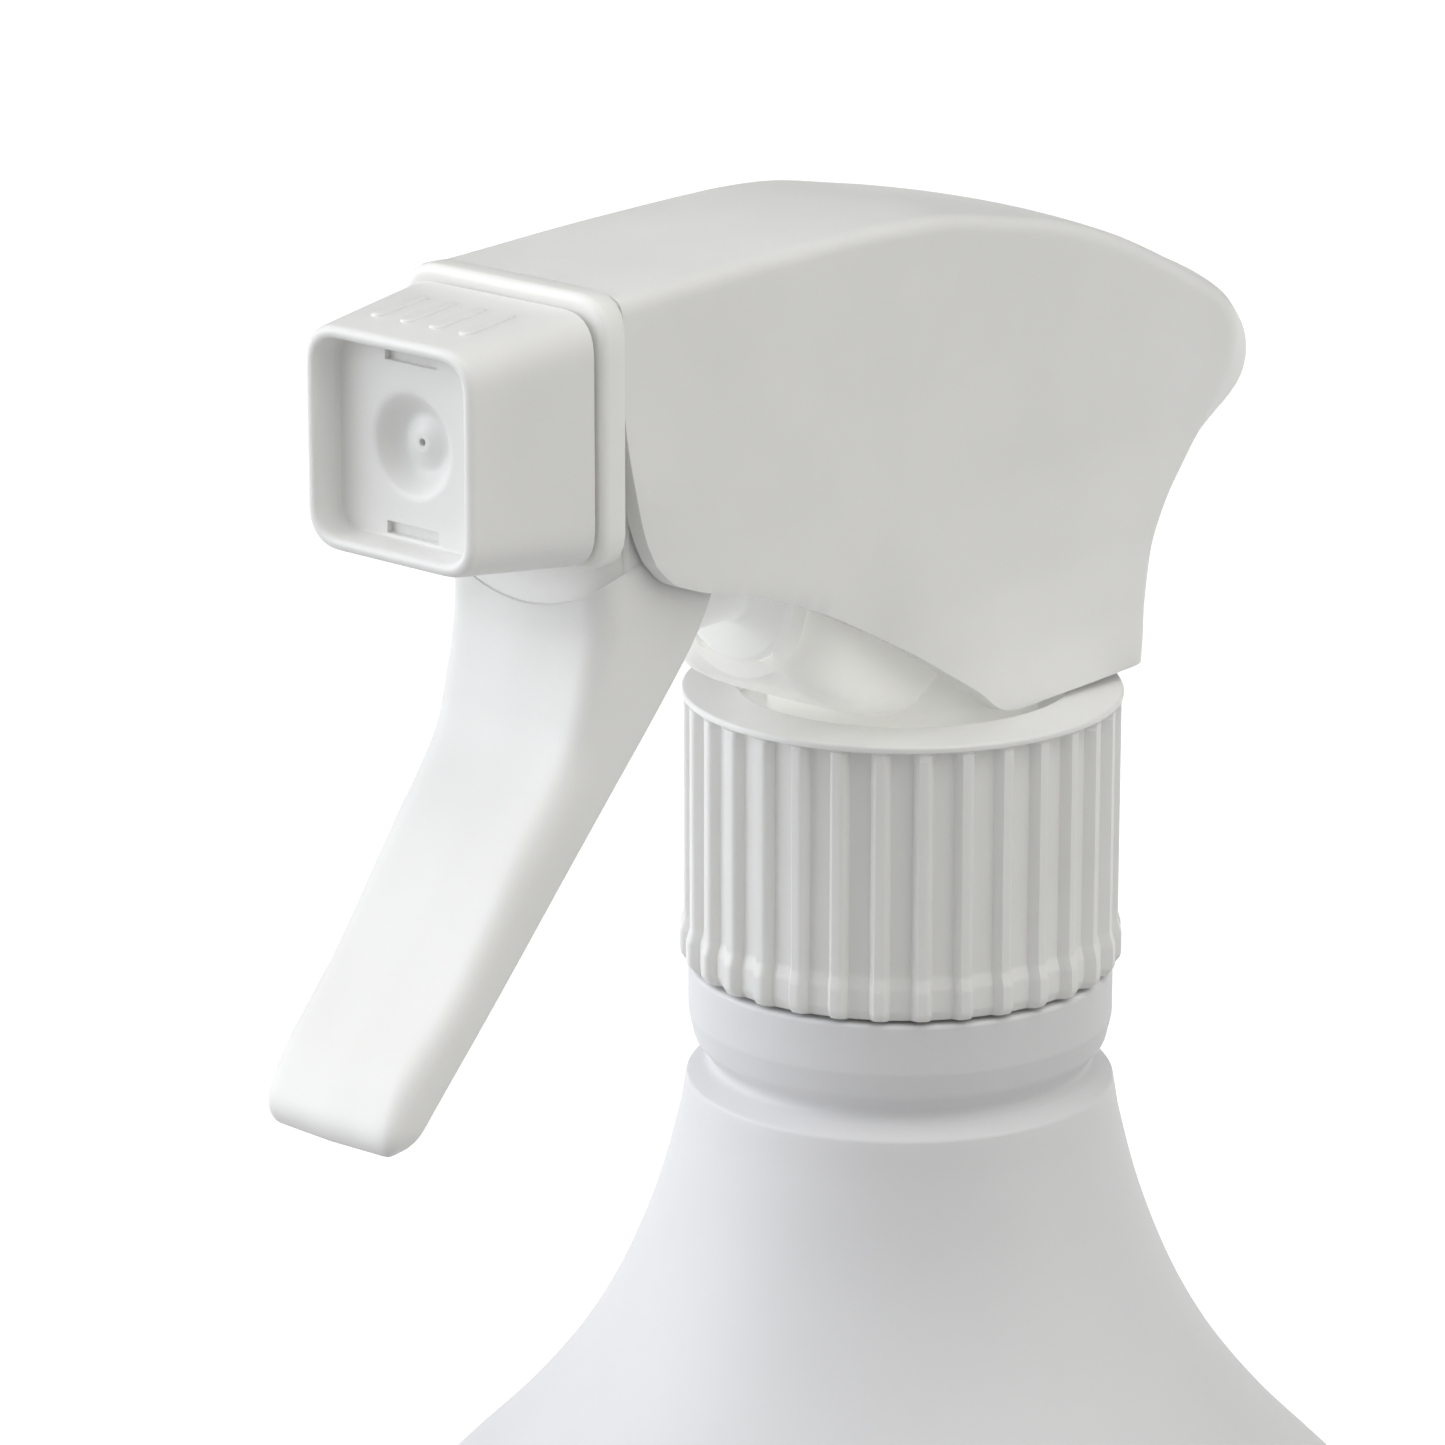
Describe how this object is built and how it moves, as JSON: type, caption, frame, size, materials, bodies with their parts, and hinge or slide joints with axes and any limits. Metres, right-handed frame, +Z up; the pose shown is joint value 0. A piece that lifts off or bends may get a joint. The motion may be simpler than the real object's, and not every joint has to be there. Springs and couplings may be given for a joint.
{
  "type": "hand mister",
  "caption": "Trigger hand mister: ribbed screw closure, shrouded pump head with a square turning nozzle and a squeeze trigger, on a flared-shoulder bottle with a dip tube.",
  "frame": {"origin": "centre of the bottle's flat base, on the bottle's axis", "axes": "+Z up along the bottle and the closure, the nozzle points along -Y, +X to the right seen from the trigger's side"},
  "size_m": [0.084, 0.1039, 0.2337],
  "materials": {
    "white_polypropylene": "injection moulded, satin",
    "natural_polypropylene": "natural, slightly translucent, satin",
    "white_polyethylene": "blow moulded, soft satin",
    "clear_polyethylene": "milky, flexible",
    "white_acetal": "moulded, satin",
    "grey_foam": "closed-cell polyethylene foam",
    "seal_elastomer": "soft elastomer",
    "spring_steel": "drawn stainless wire",
    "ball_glass": "polished"
  },
  "bodies": {
    "bottle": {"bottle": "white_polyethylene"},
    "head": {"pump_housing": "natural_polypropylene", "shroud": "white_polypropylene", "intake_holder": "natural_polypropylene", "dip_tube": "clear_polyethylene", "dip_tube_strainer": "white_polypropylene", "closure_gasket": "grey_foam", "barrel_plug": "white_polypropylene", "swirl_insert": "white_acetal", "outlet_spring": "spring_steel", "piston_spring": "spring_steel"},
    "closure": {"closure_cap": "white_polypropylene"},
    "nozzle": {"nozzle_cap": "white_polypropylene", "nozzle_seal": "seal_elastomer"},
    "trigger": {"trigger": "white_polypropylene"},
    "piston": {"piston": "clear_polyethylene"},
    "intake_ball": {"intake_ball": "ball_glass"},
    "outlet_valve": {"outlet_valve": "seal_elastomer"}
  },
  "joints": [
    {"name": "head_lift", "type": "slide", "parent": "bottle", "child": "head", "axis": [0, 0, 1], "range_m": [0, 0.00634]},
    {"name": "closure_turn", "type": "hinge", "parent": "head", "child": "closure", "pos_m": [0, 0, 0.185], "axis": [0, 0, 1], "range_deg": [0, 540]},
    {"name": "nozzle_turn", "type": "hinge", "parent": "head", "child": "nozzle", "pos_m": [0, -0.049, 0.2234], "axis": [0, -1, 0], "continuous": true},
    {"name": "trigger_squeeze", "type": "hinge", "parent": "head", "child": "trigger", "pos_m": [0, -0.0335, 0.2234], "axis": [1, 0, 0], "range_deg": [0, 18], "stiffness_Nm_per_rad": 0.05, "springref_deg": -20.05},
    {"name": "piston_stroke", "type": "slide", "parent": "head", "child": "piston", "axis": [0, 1, 0], "range_m": [0, 0.0055], "deforming": ["piston_spring"]},
    {"name": "intake_ball_lift", "type": "slide", "parent": "head", "child": "intake_ball", "axis": [0, 0, 1], "range_m": [0, 0.0018]},
    {"name": "outlet_valve_open", "type": "slide", "parent": "head", "child": "outlet_valve", "axis": [0, -1, 0], "range_m": [0, 0.001], "stiffness_N_per_m": 60, "springref_m": -0.002, "deforming": ["outlet_spring"]}
  ],
  "couplings": [
    {"joint": "closure_turn", "follows": "head_lift", "rad_per_m": 1485.3},
    {"joint": "piston_stroke", "follows": "trigger_squeeze", "m_per_rad": 0.0169}
  ]
}
